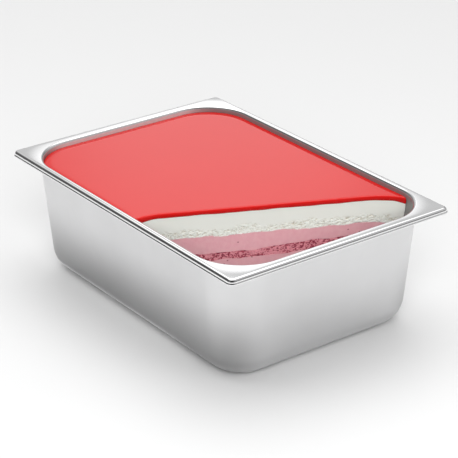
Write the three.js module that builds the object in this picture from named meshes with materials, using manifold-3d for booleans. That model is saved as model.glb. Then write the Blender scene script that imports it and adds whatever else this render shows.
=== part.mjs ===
// Red-glazed layered dessert in a rectangular stainless-steel pan, with one corner of it served.
// Millimetres, +Z up. The origin is on the surface that the pan stands on, under its centre:
// +X runs along the long sides, +Y along the short ones, and the emptied corner is at +X, -Y.

import * as THREE from 'three';
import Module from 'manifold-3d';
import { mergeVertices } from 'three/addons/utils/BufferGeometryUtils.js';

// ---- The pan -----------------------------------------------------------------------------------

const PAN = {
  length: 360, // over the rim
  width: 250,
  height: 120,
  sheet: 0.8, // thickness of the steel
  flangeEnd: 9.2, // flat rim at the short ends, from the lip to where it turns down
  flangeSide: 5.6, // the same along the long sides
  lip: 5.4, // height of the turned-down outer edge
  lipFlare: 0.8, // how far the lip's lower half stands out
  lipRound: 1.2, // round between the flange and the lip
  rimCorner: 6.5, // radius of the rim's outer corners in plan
  openingCorner: 50, // radius of the opening's corners in plan
  bend: 3, // round where the flange turns down into the wall
  draftDeg: 4.55, // slope of the walls
  bodyCorner: 41, // the walls' corner radius once below the rim
  shoulder: 14, // depth over which the opening's corners tighten to the walls' radius
  bodyCornerFoot: 35.5, // the walls' corner radius at the foot
  foot: 26, // outer radius between wall and floor
};

// ---- The dessert, heights above the surface that the pan stands on --------------------------------

const GAP = 0.3; // clearance between neighbouring pieces
const GLAZE_TOP = 114.8;
const LEVEL = { glaze: 110, cream: 87.5, mousse: 73.5, crumb: 64.6 }; // underside of each layer

const CUT = {
  start: new THREE.Vector2(21.1, -91.8), // a point of the knife's straight run
  angleDeg: 64.6, // its direction in plan
  leftBend: 4, // measure along the run below which the cut sweeps forward
  leftSweep: 6.5,
  leftReach: 24,
  rightBend: 190, // and above which it sweeps forward again
  rightSweep: 11.5,
  rightReach: 46,
};
// Stations along the run: close together between the walls, and past the pan at both ends.
const STATIONS = [-160, ...range(-30, 245, 5), 300];
const REACH = 340; // how far the cutting blocks go beyond the cut, in front of it and behind

const CRUMB_CLIMB = 6.6; // how much higher the crumb lies at the cut's right end
const GLAZE_LIP = { proud: 0.7, round: 2.6, undercut: 0.9, underRound: 1.4 }; // its rounded front edge

const CORNER_STEPS = 9;
const BEND_STEPS = 3;
const FOOT_STEPS = 5;

// ---- Small helpers -----------------------------------------------------------------------------

const radians = THREE.MathUtils.degToRad;
const smooth = (from, to, x) => THREE.MathUtils.smoothstep(x, from, to);

function range(from, to, step) {
  const count = Math.round((to - from) / step);
  return Array.from({ length: count + 1 }, (_, k) => from + (to - from) * k / count);
}

// A rounded rectangle in plan, as the same number of points whatever its corner radius.
function roundedRing(halfX, halfY, radius) {
  const points = [];
  for (let corner = 0; corner < 4; corner++) {
    const signX = corner === 0 || corner === 3 ? 1 : -1;
    const signY = corner < 2 ? 1 : -1;
    for (let step = 0; step <= CORNER_STEPS; step++) {
      const angle = (corner + step / CORNER_STEPS) * Math.PI / 2;
      points.push(new THREE.Vector2(
        signX * (halfX - radius) + radius * Math.cos(angle),
        signY * (halfY - radius) + radius * Math.sin(angle),
      ));
    }
  }
  return points;
}

// One level of the pan: how far in from the rim's edge on each axis, how high, and how round.
const level = (insetX, insetY, z, radius) => ({
  z,
  ring: roundedRing(PAN.length / 2 - insetX, PAN.width / 2 - insetY, radius),
});

// A closed body through a stack of levels, capped at its first and last one.
function loft(levels) {
  const count = levels[0].ring.length;
  const positions = [];
  const triangles = [];
  for (const { ring, z } of levels) for (const p of ring) positions.push(p.x, p.y, z);
  for (let k = 0; k < levels.length - 1; k++) {
    for (let i = 0; i < count; i++) {
      const a = k * count + i;
      const b = k * count + (i + 1) % count;
      triangles.push(a, b, b + count, a, b + count, a + count);
    }
  }
  for (const k of [0, levels.length - 1]) {
    const hub = positions.length / 3;
    positions.push(0, 0, levels[k].z);
    for (let i = 0; i < count; i++) {
      const a = k * count + i;
      const b = k * count + (i + 1) % count;
      if (k === 0) triangles.push(hub, b, a);
      else triangles.push(hub, a, b);
    }
  }
  return outward(positions, triangles);
}

// A closed body between two sheets that share one grid, joined round their edges.
function betweenSheets(columns, rows, front, back) {
  const positions = [];
  const triangles = [];
  for (const sheet of [front, back]) {
    for (let j = 0; j <= rows; j++) {
      for (let i = 0; i <= columns; i++) positions.push(...sheet(i, j).toArray());
    }
  }
  const at = (sheet, i, j) => sheet * (columns + 1) * (rows + 1) + j * (columns + 1) + i;
  const quad = (a, b, c, d) => triangles.push(a, b, c, a, c, d);
  for (let j = 0; j < rows; j++) {
    for (let i = 0; i < columns; i++) {
      quad(at(0, i, j), at(0, i + 1, j), at(0, i + 1, j + 1), at(0, i, j + 1));
      quad(at(1, i, j), at(1, i, j + 1), at(1, i + 1, j + 1), at(1, i + 1, j));
    }
  }
  for (let i = 0; i < columns; i++) {
    quad(at(0, i + 1, 0), at(0, i, 0), at(1, i, 0), at(1, i + 1, 0));
    quad(at(0, i, rows), at(0, i + 1, rows), at(1, i + 1, rows), at(1, i, rows));
  }
  for (let j = 0; j < rows; j++) {
    quad(at(0, 0, j), at(0, 0, j + 1), at(1, 0, j + 1), at(1, 0, j));
    quad(at(0, columns, j + 1), at(0, columns, j), at(1, columns, j), at(1, columns, j + 1));
  }
  return outward(positions, triangles);
}

// Gives a closed triangle list the turn that makes its faces point out.
function outward(positions, triangles) {
  const corner = (index) => new THREE.Vector3().fromArray(positions, index * 3);
  let volume = 0;
  for (let t = 0; t < triangles.length; t += 3) {
    const [a, b, c] = [0, 1, 2].map((k) => corner(triangles[t + k]));
    volume += a.dot(b.cross(c));
  }
  if (volume < 0) triangles.reverse();
  const geometry = new THREE.BufferGeometry();
  geometry.setAttribute('position', new THREE.Float32BufferAttribute(positions, 3));
  geometry.setIndex(triangles);
  return geometry;
}

const wasm = await Module();
wasm.setup();

function toSolid(geometry) {
  const bare = geometry.clone();
  bare.deleteAttribute('normal');
  bare.deleteAttribute('uv');
  const merged = mergeVertices(bare, 1e-4);
  return new wasm.Manifold(new wasm.Mesh({
    numProp: 3,
    vertProperties: new Float32Array(merged.attributes.position.array),
    triVerts: new Uint32Array(merged.index.array),
  }));
}

function toGeometry(solid) {
  const { vertProperties, triVerts } = solid.getMesh();
  const geometry = new THREE.BufferGeometry();
  geometry.setAttribute('position', new THREE.Float32BufferAttribute(vertProperties, 3));
  geometry.setIndex([...triVerts]);
  geometry.computeVertexNormals();
  return geometry;
}

// ---- The pan's form ----------------------------------------------------------------------------

// The walls' corner radius in plan, at a height, for a surface that lies offset inside the steel.
function wallCorner(z, offset) {
  const below = PAN.height - PAN.bend - z;
  const top = PAN.openingCorner - PAN.bend;
  const shoulder = THREE.MathUtils.lerp(top, PAN.bodyCorner, smooth(0, PAN.shoulder, below));
  const taper = (PAN.bodyCorner - PAN.bodyCornerFoot) * below / PAN.height;
  return shoulder - taper - offset;
}

// The wall and foot from the rim's bend down to the flat floor, offset inwards from the steel's
// inner face. A negative offset gives the outer face.
function wallLevels(offset) {
  const foot = PAN.foot - PAN.sheet - offset;
  const floor = PAN.sheet + offset;
  const slope = radians(PAN.draftDeg);
  const footTop = floor + foot * (1 - Math.sin(slope));
  const wallTop = PAN.height - PAN.bend;
  const wallInset = (z) => (wallTop - z) * Math.tan(slope) + PAN.bend + offset / Math.cos(slope);
  const levels = [];
  for (const z of [wallTop, wallTop - 5, wallTop - PAN.shoulder, 70, footTop]) {
    const inset = wallInset(z);
    levels.push(level(PAN.flangeEnd + inset, PAN.flangeSide + inset, z, wallCorner(z, offset)));
  }
  const middle = wallInset(footTop) + foot * Math.cos(slope);
  for (let step = 1; step <= FOOT_STEPS; step++) {
    const angle = THREE.MathUtils.lerp(slope, Math.PI / 2, step / FOOT_STEPS);
    const inset = middle - foot * Math.cos(angle);
    const z = floor + foot * (1 - Math.sin(angle));
    const radius = wallCorner(footTop, offset) - (inset - wallInset(footTop));
    levels.push(level(PAN.flangeEnd + inset, PAN.flangeSide + inset, z, radius));
  }
  return levels;
}

// The bend from the flat flange into the wall, for the upper face or the underside of the sheet.
function bendLevels(depth) {
  const radius = PAN.bend - depth;
  const levels = [];
  for (let step = 0; step < BEND_STEPS; step++) {
    const angle = radians(90 - PAN.draftDeg) * step / BEND_STEPS;
    const inset = radius * Math.sin(angle);
    const z = PAN.height - PAN.bend + radius * Math.cos(angle);
    levels.push(level(PAN.flangeEnd + inset, PAN.flangeSide + inset, z, PAN.openingCorner - inset));
  }
  return levels;
}

// The outer edge: rounded over, straight down, stepped out, and back up inside.
function lipLevels() {
  const { sheet, lipRound, lipFlare, lip, height } = PAN;
  const edge = (inset, drop) => level(inset, inset, height - drop, PAN.rimCorner - inset);
  const step = lip * 0.55;
  const chamfer = lipRound * 0.3;
  return [
    edge(lipFlare + lipRound, 0),
    edge(lipFlare + chamfer, chamfer),
    edge(lipFlare, lipRound),
    edge(lipFlare, step),
    edge(0, step + lipFlare),
    edge(0, lip),
    edge(sheet, lip),
    edge(sheet, step + lipFlare + chamfer),
    edge(lipFlare + sheet, step + chamfer),
    edge(lipFlare + sheet, lipRound + chamfer),
    edge(lipFlare + sheet + chamfer, sheet),
  ];
}

function panSolid() {
  const inside = wallLevels(0).reverse();
  const outside = wallLevels(-PAN.sheet);
  return toSolid(loft([
    ...inside,
    ...bendLevels(0).reverse(),
    ...lipLevels(),
    ...bendLevels(PAN.sheet),
    ...outside,
  ]));
}

// ---- The dessert's form ------------------------------------------------------------------------

const along = new THREE.Vector2(Math.cos(radians(CUT.angleDeg)), Math.sin(radians(CUT.angleDeg)));
const forward = new THREE.Vector2(along.y, -along.x);

// How far the cut sweeps forward of its straight run, where it nears the walls.
function sweep(u) {
  const left = Math.max(0, (CUT.leftBend - u) / CUT.leftReach);
  const right = Math.max(0, (u - CUT.rightBend) / CUT.rightReach);
  return Math.min(CUT.leftSweep * left ** 1.8, 14) + Math.min(CUT.rightSweep * right ** 2.8, 22);
}

// A point near the cut: u along it, out in front of it, z up.
function cutPoint(u, out, z) {
  const reach = sweep(u) + out;
  return new THREE.Vector3(
    CUT.start.x + along.x * u + forward.x * reach,
    CUT.start.y + along.y * u + forward.y * reach,
    z,
  );
}

// Uneven lines that repeat nowhere in the pan: a sum of waves of unlike lengths.
const uneven = (u, phase) => (
  Math.sin(u / 6.1 + phase) * 0.5 + Math.sin(u / 3.7 + phase * 2.3) * 0.35 + Math.sin(u / 13 - phase) * 0.6
);

// The underside of each layer, at u along the cut and v behind it. The glaze sags at both walls,
// the crumb climbs towards the right, and the lines are uneven near the cut.
const UNDERSIDES = {
  glaze: (u, wave) => LEVEL.glaze + 0.25 * wave(1.1) - 1.1 * smooth(0, 18, -u) - 2.1 * smooth(222, 236, u),
  cream: (u, wave) => LEVEL.cream + 0.8 * wave(0.4),
  mousse: (u, wave) => LEVEL.mousse + CRUMB_CLIMB * (smooth(60, 200, u) - 0.5) + 0.8 * wave(2.2),
  crumb: (u, wave) => LEVEL.crumb + CRUMB_CLIMB * (smooth(60, 200, u) - 0.5) * 0.6 + 0.7 * wave(3.9),
};

function underside(name, u, v) {
  const near = 1 - smooth(4, 40, v);
  return UNDERSIDES[name](u, (phase) => near * uneven(u, phase));
}

// The relief of the cut face: smooth cream and mousse, ragged cream foot and crumb.
function relief(u, z) {
  const ragged = smooth(LEVEL.cream - 1, LEVEL.cream + 1, z) * (1 - smooth(96, 99, z));
  const crumbly = smooth(63, 66, z) * (1 - smooth(72, 76, z));
  const strength = 0.12 + 0.75 * ragged + 0.8 * crumbly;
  return strength * (Math.sin(u / 2.9 + z * 0.9) * 0.55 + Math.sin(u / 4.7 - z * 1.3) * 0.45);
}

// The glaze's front edge: rounded over at the top, a little proud, drawn back under.
function glazeEdge(u, z) {
  const { proud, round, undercut, underRound } = GLAZE_LIP;
  const over = THREE.MathUtils.clamp((z - GLAZE_TOP + round) / round, 0, 1);
  const under = THREE.MathUtils.clamp((LEVEL.glaze + underRound - z) / underRound, 0, 1);
  return proud - round * (1 - Math.sqrt(1 - over ** 2)) - undercut * under ** 2;
}

// Everything in front of the cut face, whose relief is given at each station and height.
function servedCorner(heights, out) {
  const face = (i, j) => cutPoint(STATIONS[i], out(STATIONS[i], heights[j]), heights[j]);
  const beyond = (i, j) => cutPoint(STATIONS[i], REACH, heights[j]);
  return toSolid(betweenSheets(STATIONS.length - 1, heights.length - 1, face, beyond));
}

// A slab larger than the pan in plan, between two heights that vary with place.
function slab(bottom, top) {
  const behind = [-60, 0, 2, 10, 40, REACH];
  const place = (height) => (i, j) => {
    const z = height(STATIONS[i], Math.max(behind[j], 0));
    return cutPoint(STATIONS[i], -behind[j], z);
  };
  return toSolid(betweenSheets(STATIONS.length - 1, behind.length - 1, place(bottom), place(top)));
}

const filling = toSolid(loft(wallLevels(GAP).reverse()));
const faceRows = [-5, 20, 40, 52, ...range(60, 100, 3.2), 105, PAN.height];
const glazeRows = [100, 107.5, ...range(109, 112.6, 1.2), 113.6, 114.3, GLAZE_TOP, PAN.height];
const cutFace = servedCorner(faceRows, relief);
const glazeFace = servedCorner(glazeRows, glazeEdge);

// One layer of the filling, behind the cut.
function layer(bottom, top, corner = cutFace) {
  return filling.intersect(slab(bottom, top)).subtract(corner);
}

const under = (name) => (u, v) => underside(name, u, v);
const upTo = (name) => (u, v) => underside(name, u, v) - GAP;
const flat = (z) => () => z;

// ---- The pieces --------------------------------------------------------------------------------

const steel = { color: 0xc9cacc, roughness: 0.22, metalness: 1 };
const food = (color, roughness) => ({ color, roughness, metalness: 0 });
const PIECES = [
  { name: 'pan', solid: panSolid(), look: steel },
  { name: 'glaze', solid: layer(under('glaze'), flat(GLAZE_TOP), glazeFace), look: food(0xd0140f, 0.08) },
  { name: 'white_cream', solid: layer(under('cream'), upTo('glaze')), look: food(0xe4e2da, 0.6) },
  { name: 'pink_mousse', solid: layer(under('mousse'), upTo('cream')), look: food(0xd8939f, 0.55) },
  { name: 'red_crumb', solid: layer(under('crumb'), upTo('mousse')), look: food(0xa8445a, 0.8) },
  { name: 'pink_base', solid: layer(flat(-5), upTo('crumb')), look: food(0xd8899a, 0.55) },
];

const dessert = new THREE.Group();
for (const { name, solid, look } of PIECES) {
  const mesh = new THREE.Mesh(toGeometry(solid), new THREE.MeshStandardMaterial(look));
  mesh.name = name;
  dessert.add(mesh);
}

export default dessert;
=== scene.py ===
"""A red-glazed layered dessert in a rectangular stainless-steel pan, with one corner of it served.

Sizes are in millimetres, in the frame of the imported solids, and turn into metres where a mesh is
made. The frame's origin is on the surface that the pan stands on, under its middle: +X runs along
the long sides, +Y along the short ones, and the emptied corner is at +X, -Y.
"""

import logging
import math
from dataclasses import dataclass, field
from enum import Enum
from typing import Callable, Mapping

import bpy
import numpy as np
from mathutils import Matrix, Vector


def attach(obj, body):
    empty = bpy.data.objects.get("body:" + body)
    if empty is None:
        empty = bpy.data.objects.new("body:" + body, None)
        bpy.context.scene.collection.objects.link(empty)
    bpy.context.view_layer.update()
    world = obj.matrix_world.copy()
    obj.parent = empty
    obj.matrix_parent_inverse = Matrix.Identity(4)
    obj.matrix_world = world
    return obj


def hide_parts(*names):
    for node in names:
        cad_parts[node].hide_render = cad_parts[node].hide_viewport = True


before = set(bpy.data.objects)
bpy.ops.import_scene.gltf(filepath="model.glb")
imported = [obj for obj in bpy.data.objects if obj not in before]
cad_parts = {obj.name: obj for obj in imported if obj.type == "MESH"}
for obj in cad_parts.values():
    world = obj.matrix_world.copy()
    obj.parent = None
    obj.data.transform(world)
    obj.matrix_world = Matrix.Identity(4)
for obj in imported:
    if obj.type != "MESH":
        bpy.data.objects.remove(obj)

MM = 0.001
LOG = logging.getLogger("dessert")

Triple = tuple[float, float, float]
Colour = Triple
Range = tuple[float, float]


def smooth(low: float, high: float, value: np.ndarray | float) -> np.ndarray | float:
    """Rises from 0 at low to 1 at high, with level ends."""
    t = np.clip((value - low) / (high - low), 0.0, 1.0)
    return t * t * (3.0 - 2.0 * t)


def srgb(red: int, green: int, blue: int) -> Colour:
    """Gives the linear colour of three display values from 0 to 255.

    Args:
        red: The display's red.
        green: Its green.
        blue: Its blue.

    Returns:
        The colour.
    """

    def linear(value: int) -> float:
        """Turns one display value into a linear one."""
        share = value / 255.0
        return share / 12.92 if share <= 0.04045 else ((share + 0.055) / 1.055) ** 2.4

    return linear(red), linear(green), linear(blue)


# ---- Noise for uneven surfaces -----------------------------------------------------------------


class Unevenness:
    """Seeded noise over a plane, from which the food's uneven surfaces are made."""

    SIZE = 256
    OCTAVE_SHIFT = (17.3, -9.1)
    OCTAVE_SUM = 1.6

    def __init__(self, seed: int) -> None:
        """Draws the lattice.

        Args:
            seed: Fixes the draw, so that each run gives the same surface.
        """
        draw = np.random.default_rng(seed)
        self._heights = draw.random((self.SIZE, self.SIZE)) * 2.0 - 1.0
        self._points = draw.random((self.SIZE, self.SIZE, 2))
        self._marks = draw.random((self.SIZE, self.SIZE))

    def waves(self, x: np.ndarray, y: np.ndarray) -> np.ndarray:
        """Gives smooth noise, with features one unit wide.

        Args:
            x: Place along the surface.
            y: Place across it.

        Returns:
            The noise, from -1 to 1.
        """
        column, row = np.floor(x).astype(int), np.floor(y).astype(int)
        s, t = x - column, y - row
        s, t = (w * w * w * (w * (w * 6.0 - 15.0) + 10.0) for w in (s, t))
        corner = [
            [self._heights[(row + j) % self.SIZE, (column + i) % self.SIZE] for i in (0, 1)]
            for j in (0, 1)
        ]
        low = corner[0][0] * (1.0 - s) + corner[0][1] * s
        high = corner[1][0] * (1.0 - s) + corner[1][1] * s
        return low * (1.0 - t) + high * t

    def fractal(self, x: np.ndarray, y: np.ndarray, octaves: int = 4) -> np.ndarray:
        """Gives noise on several scales at once, each half as strong and wide as the last.

        Args:
            x: Place along the surface, in units of the widest features.
            y: Place across it.
            octaves: How many scales are added.

        Returns:
            The noise, from about -1 to 1.
        """
        total = np.zeros_like(x, dtype=float)
        for octave in range(octaves):
            scale = 2.0**octave
            right, up = (shift * octave for shift in self.OCTAVE_SHIFT)
            total += self.waves(x * scale + right, y * scale + up) / scale
        return total / self.OCTAVE_SUM

    def cells(self, x: np.ndarray, y: np.ndarray) -> tuple[np.ndarray, np.ndarray]:
        """Finds the nearest of many scattered points, one to a unit square.

        Args:
            x: Place along the surface, in cell widths.
            y: Place across it.

        Returns:
            The distance to that point, and a number from 0 to 1 that belongs to it.
        """
        column, row = np.floor(x).astype(int), np.floor(y).astype(int)
        nearest = np.full(x.shape, 9.0)
        mark = np.zeros(x.shape)
        for j in (-1, 0, 1):
            for i in (-1, 0, 1):
                a, b = (row + j) % self.SIZE, (column + i) % self.SIZE
                point = self._points[a, b]
                away = np.hypot(column + i + point[..., 0] - x, row + j + point[..., 1] - y)
                closer = away < nearest
                nearest = np.where(closer, away, nearest)
                mark = np.where(closer, self._marks[a, b], mark)
        return nearest, mark


@dataclass(frozen=True)
class Grid:
    """How large a pattern's features are on the cut face, along it and up it."""

    along: float
    up: float
    shift: float = 0.0

    def at(self, u: np.ndarray, z: np.ndarray) -> tuple[np.ndarray, np.ndarray]:
        """Gives places on the face in units of the features."""
        return u / self.along + self.shift, z / self.up


# ---- Shader nodes ------------------------------------------------------------------------------


def operator(name: str, reflected: bool = False) -> Callable[["Wire", "Wire | float"], "Wire"]:
    """Makes a method that adds one Math node.

    Args:
        name: The Math node's operation.
        reflected: Whether the other value comes first.

    Returns:
        The method.
    """

    def method(wire: "Wire", other: "Wire | float") -> "Wire":
        """Does the sum with another wire or a number."""
        return wire.bench.math(name, *((other, wire) if reflected else (wire, other)))

    return method


class Wire:
    """A number that a node gives, on which Python's arithmetic adds Math nodes."""

    __add__, __radd__ = operator("ADD"), operator("ADD", reflected=True)
    __sub__, __rsub__ = operator("SUBTRACT"), operator("SUBTRACT", reflected=True)
    __mul__, __rmul__ = operator("MULTIPLY"), operator("MULTIPLY", reflected=True)

    def __init__(self, bench: "Bench", socket: bpy.types.NodeSocket) -> None:
        """Holds the socket and the bench that it is on."""
        self.bench = bench
        self.socket = socket

    def between(self, low: float, high: float) -> "Wire":
        """Rises smoothly from 0 where this number is low to 1 where it is high.

        Args:
            low: The number that gives 0.
            high: The number that gives 1.

        Returns:
            The share.
        """
        limits = {"Value": self, "From Min": low, "From Max": high}
        return self.bench.wire(
            "ShaderNodeMapRange", {"interpolation_type": "SMOOTHSTEP"}, limits
        )

    def between_mm(self, limits: Range) -> "Wire":
        """Rises smoothly from 0 to 1 between two places given in millimetres."""
        return self.between(limits[0] * MM, limits[1] * MM)


class Bench:
    """The node tree of one material or world, and the calls that fill it."""

    def __init__(self, tree: bpy.types.NodeTree) -> None:
        """Takes a tree and empties it."""
        self.tree = tree
        tree.nodes.clear()

    def node(
        self,
        kind: str,
        settings: Mapping[str, object] | None = None,
        inputs: Mapping[str, object] | None = None,
    ) -> bpy.types.Node:
        """Adds one node.

        Args:
            kind: The node's type.
            settings: Its properties, set first.
            inputs: Values or links, by the socket's identifier or name.

        Returns:
            The node.
        """
        node = self.tree.nodes.new(kind)
        for name, value in (settings or {}).items():
            setattr(node, name, value)
        for name, value in (inputs or {}).items():
            self.feed(node, name, value)
        return node

    def feed(self, node: bpy.types.Node, name: str, value: object) -> None:
        """Links a wire to a socket, or sets the socket's value.

        Args:
            node: The node that has the socket.
            name: The socket's identifier or name.
            value: A wire, a number, or a colour or vector.
        """
        by_identifier = [s for s in node.inputs if s.identifier == name]
        socket = by_identifier[0] if by_identifier else node.inputs[name]
        if isinstance(value, Wire):
            self.tree.links.new(value.socket, socket)
        elif isinstance(value, tuple) and len(value) == 3 and socket.type == "RGBA":
            socket.default_value = (*value, 1.0)
        else:
            socket.default_value = value

    def wire(
        self,
        kind: str,
        settings: Mapping[str, object] | None = None,
        inputs: Mapping[str, object] | None = None,
        output: str | int = 0,
    ) -> Wire:
        """Adds one node and gives one of its outputs.

        Args:
            kind: The node's type.
            settings: Its properties.
            inputs: Values or links of its sockets.
            output: The output's identifier, name or number.

        Returns:
            The output.
        """
        node = self.node(kind, settings, inputs)
        if isinstance(output, str):
            match = [s for s in node.outputs if s.identifier == output]
            return Wire(self, match[0] if match else node.outputs[output])
        return Wire(self, node.outputs[output])

    def math(self, operation: str, *values: "Wire | float") -> Wire:
        """Adds one Math node."""
        sockets = ("Value", "Value_001", "Value_002")
        return self.wire("ShaderNodeMath", {"operation": operation}, dict(zip(sockets, values)))

    def mix(self, share: "Wire | float", first: object, second: object) -> Wire:
        """Mixes two colours.

        Args:
            share: The second colour's share.
            first: The first colour.
            second: The second one.

        Returns:
            The mixture.
        """
        inputs = {"Factor_Float": share, "A_Color": first, "B_Color": second}
        return self.wire("ShaderNodeMix", {"data_type": "RGBA"}, inputs, "Result_Color")

    def tint(self, colour: object, by: "Wire | float") -> Wire:
        """Makes a colour lighter or darker by a factor."""
        inputs = {"Vector": colour, "Scale": by}
        return self.wire("ShaderNodeVectorMath", {"operation": "SCALE"}, inputs)

    def place(self) -> Wire:
        """Gives the point on the object, in metres."""
        return self.wire("ShaderNodeTexCoord", output="Object")

    def spread(self, vector: Wire, scale: Triple) -> Wire:
        """Multiplies a vector part by part."""
        inputs = {"Vector": vector, "Vector_001": scale}
        return self.wire("ShaderNodeVectorMath", {"operation": "MULTIPLY"}, inputs)

    def split(self, vector: Wire, axis: str) -> Wire:
        """Gives one part of a vector."""
        return self.wire("ShaderNodeSeparateXYZ", inputs={"Vector": vector}, output=axis)

    def noise(self, vector: Wire, scale: float, detail: float = 2.0, rough: float = 0.5) -> Wire:
        """Gives soft noise from about 0.2 to 0.8."""
        inputs = {"Vector": vector, "Scale": scale, "Detail": detail, "Roughness": rough}
        return self.wire("ShaderNodeTexNoise", inputs=inputs, output="Fac")

    def named(self, attribute: str) -> Wire:
        """Gives a number that the mesh holds at each point."""
        return self.wire("ShaderNodeAttribute", {"attribute_name": attribute}, output="Fac")

    def bump(self, height: Wire, depth_mm: float, over: Wire | None = None) -> Wire:
        """Turns a height from 0 to 1 into a bent normal.

        Args:
            height: The height.
            depth_mm: What a height of 1 stands for.
            over: A bent normal that it adds to.

        Returns:
            The normal.
        """
        inputs = {"Height": height, "Distance": depth_mm * MM, "Strength": 1.0}
        return self.wire("ShaderNodeBump", inputs=inputs | ({"Normal": over} if over else {}))


@dataclass(frozen=True)
class Glow:
    """Light that spreads under a surface, each colour as far as its share of the depth."""

    share: float
    spread: Colour
    depth_mm: float

    def inputs(self) -> dict[str, object]:
        """Gives the Principled shader's inputs, by name."""
        return {
            "Subsurface Weight": self.share,
            "Subsurface Radius": self.spread,
            "Subsurface Scale": self.depth_mm * MM,
        }


# ---- Finishes ----------------------------------------------------------------------------------


@dataclass(frozen=True)
class Finish:
    """A material. Each kind of finish works out its shader's inputs."""

    name: str

    def make(self) -> bpy.types.Material:
        """Builds the material.

        Returns:
            The material.
        """
        material = bpy.data.materials.new(self.name)
        material.use_nodes = True
        bench = Bench(material.node_tree)
        bench.node("ShaderNodeOutputMaterial", inputs={"Surface": self.shader(bench)})
        return material

    def shader(self, bench: Bench) -> Wire:
        """Gives the shader that the material ends in."""
        return bench.wire("ShaderNodeBsdfPrincipled", inputs=self.inputs(bench, bench.place()))

    def inputs(self, bench: Bench, place: Wire) -> dict[str, object]:
        """Works out the Principled shader's inputs.

        Args:
            bench: The material's bench.
            place: The point on the object, in metres.

        Returns:
            The inputs, by name.
        """
        raise NotImplementedError


@dataclass(frozen=True)
class PressedSteel(Finish):
    """Stainless steel: a bright rim over satin walls, with the faint waves that pressing leaves.

    The inside of the wall over the glaze is rougher and only partly metallic. The walls' colour
    carries painted shade and painted reflection by height and side, and the rim a painted
    highlight, as the photograph shows them.
    """

    name: str = "pressed_steel"
    colour: Colour = (0.79, 0.79, 0.795)
    dull_colour: Colour = (0.70, 0.70, 0.705)
    wall_roughness: float = 0.38
    rim_roughness: float = 0.10
    inside_roughness: float = 0.42
    inside_metallic: float = 0.50
    rim_smooth_mm: Range = (110.0, 114.0)
    # Painted highlight: the rim's colour is made lighter.
    rim_painted_highlight_mm: Range = (113.0, 115.0)
    rim_painted_highlight: float = 0.18
    # Painted shade down the outer walls, which a painted reflection lightens again at the foot.
    long_side_painted_shade: float = 0.53
    short_side_painted_shade: float = 0.12
    long_side_mm: Range = (68.0, 106.0)
    painted_shade_height_mm: Range = (10.0, 88.0)
    foot_painted_reflection_mm: Range = (10.0, 17.0)
    served_end_mm: Range = (30.0, 110.0)
    served_end_reflection_loss: float = 0.75
    # Painted shade on the inside of the walls over the glaze: darker on the long sides, a little
    # lighter on the short ones.
    inside_long_painted_shade: float = 0.46
    inside_short_painted_light: float = 1.05
    cloud_scale: float = 22.0
    cloud_roughness: float = 0.05
    grain_scale: Triple = (60.0, 60.0, 900.0)
    grain_roughness: float = 0.03
    wave_scale: float = 26.0
    wave_stretch: Triple = (1.0, 1.0, 0.35)
    wave_depth_mm: float = 0.10
    line_scale: float = 160.0
    line_stretch: Triple = (1.0, 1.0, 12.0)
    line_depth_mm: float = 0.004

    def inputs(self, bench: Bench, place: Wire) -> dict[str, object]:
        """Works out the Principled shader's inputs.

        Args:
            bench: The material's bench.
            place: The point on the object, in metres.

        Returns:
            The inputs, by name.
        """
        rim = bench.split(place, "Z").between_mm(self.rim_smooth_mm)
        inside = bench.named("inside") * rim
        cloud = bench.noise(place, self.cloud_scale, 3.0)
        grain = bench.noise(bench.spread(place, self.grain_scale), 1.0, 2.0)
        rough = (
            self.wall_roughness
            + rim * (self.rim_roughness - self.wall_roughness)
            + inside * (self.inside_roughness - self.rim_roughness)
            + (cloud - 0.5) * self.cloud_roughness
            + (grain - 0.5) * self.grain_roughness
        )
        waves = bench.noise(bench.spread(place, self.wave_stretch), self.wave_scale, 1.0)
        lines = bench.noise(bench.spread(place, self.line_stretch), self.line_scale, 2.0)
        waved = bench.bump(waves, self.wave_depth_mm)
        colour = bench.mix(cloud, self.dull_colour, self.colour)
        return {
            # Painted shade, painted reflection and a painted rim highlight scale the steel's
            # colour.
            "Base Color": bench.tint(colour, self._painted_shading(bench, place)),
            "Metallic": 1.0 - inside * (1.0 - self.inside_metallic),
            "Roughness": rough,
            "Normal": bench.bump(lines, self.line_depth_mm, waved),
        }

    def _painted_shading(self, bench: Bench, place: Wire) -> Wire:
        """Works out the painted shade, painted reflection and painted highlight that scale the
        steel's colour.

        The outer walls are painted darker downwards, most of all on the long sides, and a painted
        reflection lightens the foot again, less so towards the served end. The rim gets a painted
        highlight, and the inside over the glaze gets painted shade on the long sides.

        Args:
            bench: The material's bench.
            place: The point on the object, in metres.

        Returns:
            The factor on the colour.
        """
        height = bench.split(place, "Z")
        across = bench.math("ABSOLUTE", bench.split(place, "Y"))
        long_side = across.between_mm(self.long_side_mm)
        extra = self.long_side_painted_shade - self.short_side_painted_shade
        depth = self.short_side_painted_shade + long_side * extra
        # Painted shade: darker down the outer walls, most of all on the long sides.
        wall = 1.0 - depth * (1.0 - height.between_mm(self.painted_shade_height_mm))
        served_end = bench.split(place, "X").between_mm(self.served_end_mm)
        # Painted reflection: the shade fades back out at the foot, less so towards the served end.
        foot = 1.0 - height.between_mm(self.foot_painted_reflection_mm)
        foot = foot * (1.0 - self.served_end_reflection_loss * served_end)
        outer = wall + (1.0 - wall) * foot
        # Painted highlight: the rim is lighter.
        rim = height.between_mm(self.rim_painted_highlight_mm)
        # Painted shade: the inside over the glaze is darker on the long sides, a little lighter on
        # the short ones.
        inside_extra = self.inside_long_painted_shade - self.inside_short_painted_light
        within = self.inside_short_painted_light + long_side * inside_extra
        inside = bench.named("inside")
        return (outer + rim * self.rim_painted_highlight) * (1.0 - inside) + inside * within


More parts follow.
